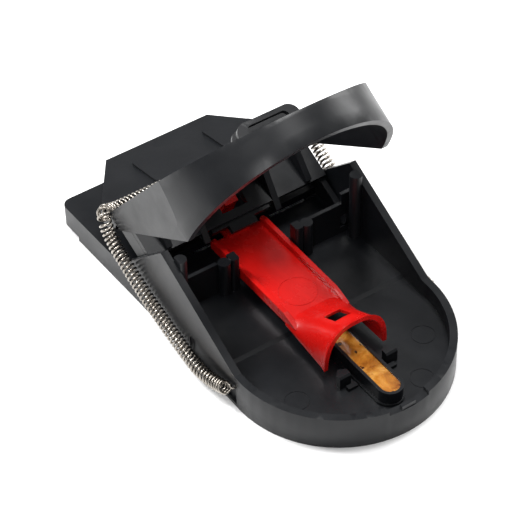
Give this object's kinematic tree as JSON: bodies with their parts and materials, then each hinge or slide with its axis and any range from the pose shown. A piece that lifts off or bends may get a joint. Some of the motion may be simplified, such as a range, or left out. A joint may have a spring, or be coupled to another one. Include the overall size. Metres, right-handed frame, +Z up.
{
  "type": "snap mouse trap",
  "caption": "Plastic snap mouse trap, set: dark base, sprung band jaw with rear lever, red hooded trigger over a bait cup and a bright coil spring.",
  "frame": {"origin": "centre of the footprint, on the surface the trap rests on", "axes": "+Y towards the rear lever, -Y towards the round baited front, +Z up"},
  "size_m": [0.0648, 0.1076, 0.0685],
  "materials": {
    "dark_plastic": "satin",
    "red_plastic": "gloss",
    "bait_paste": "gloss",
    "spring_steel": "polished"
  },
  "bodies": {
    "base": {"base": "dark_plastic", "bait_cup": "dark_plastic", "bait": "bait_paste"},
    "jaw": {"jaw": "dark_plastic", "spring_back_run": "spring_steel"},
    "trigger": {"trigger": "red_plastic"},
    "spring_left": {"spring_leg_left": "spring_steel"},
    "spring_right": {"spring_leg_right": "spring_steel"}
  },
  "joints": [
    {"name": "jaw_snap", "type": "hinge", "parent": "base", "child": "jaw", "pos_m": [0, 0.00731, 0.00933], "axis": [1, 0, 0], "range_deg": [0, 65]},
    {"name": "trigger_tilt", "type": "hinge", "parent": "base", "child": "trigger", "pos_m": [0, 0.03375, 0.0104], "axis": [1, 0, 0], "range_deg": [-2, 0]},
    {"name": "spring_left_swing", "type": "hinge", "parent": "base", "child": "spring_left", "pos_m": [-0.028, -0.02315, 0.0055], "axis": [1, 0, 0], "range_deg": [0, 28.2], "deforming": ["spring_leg_left"]},
    {"name": "spring_right_swing", "type": "hinge", "parent": "base", "child": "spring_right", "pos_m": [0.028, -0.02315, 0.0055], "axis": [1, 0, 0], "range_deg": [0, 28.2], "deforming": ["spring_leg_right"]}
  ],
  "couplings": [
    {"joint": "spring_left_swing", "follows": "jaw_snap", "ratio": 0.43},
    {"joint": "spring_right_swing", "follows": "jaw_snap", "ratio": 0.43}
  ]
}
